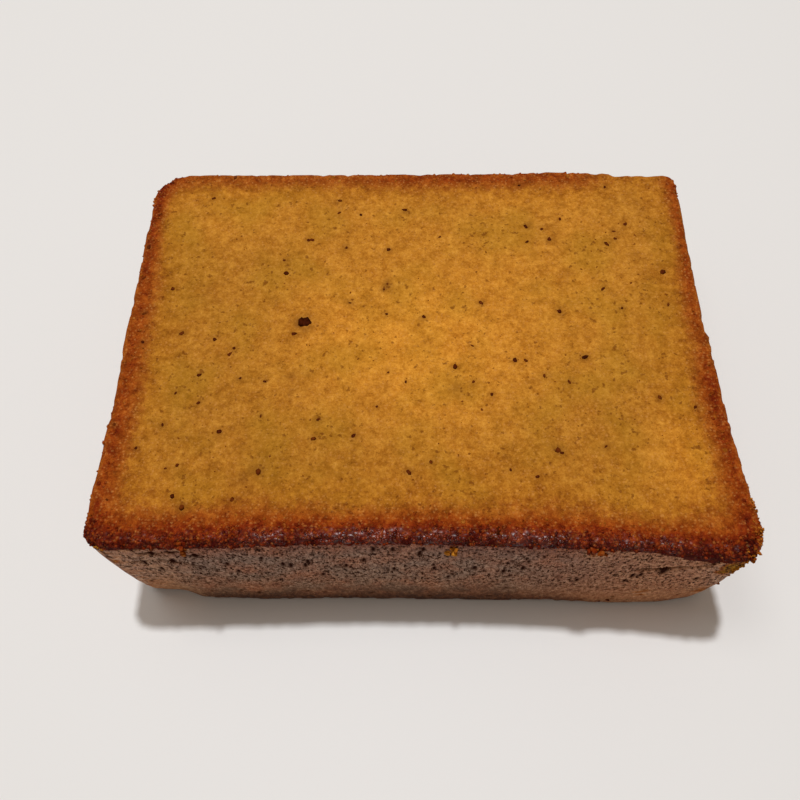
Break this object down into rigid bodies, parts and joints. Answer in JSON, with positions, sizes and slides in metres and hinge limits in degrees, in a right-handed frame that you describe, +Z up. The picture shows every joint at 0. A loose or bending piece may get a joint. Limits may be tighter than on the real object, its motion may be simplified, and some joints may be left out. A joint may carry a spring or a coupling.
{
  "type": "earl grey pound cake",
  "caption": "Thick slice of a tea-flecked loaf cake, lying on a cut face: a golden crumb framed by a thin browned crust.",
  "frame": {"origin": "centre of the footprint, on the face that the slice rests on", "axes": "+X across the loaf, +Y from the loaf's browned top crust to the side that lay on the tin's floor, +Z up through the slice's thickness"},
  "size_m": [0.0826, 0.062, 0.0236],
  "materials": {
    "cake_crumb": "baked",
    "tea_leaf": "dried",
    "crust_crumb": "baked"
  },
  "bodies": {
    "root": {"pound_cake_slice": "cake_crumb"}
  },
  "joints": []
}
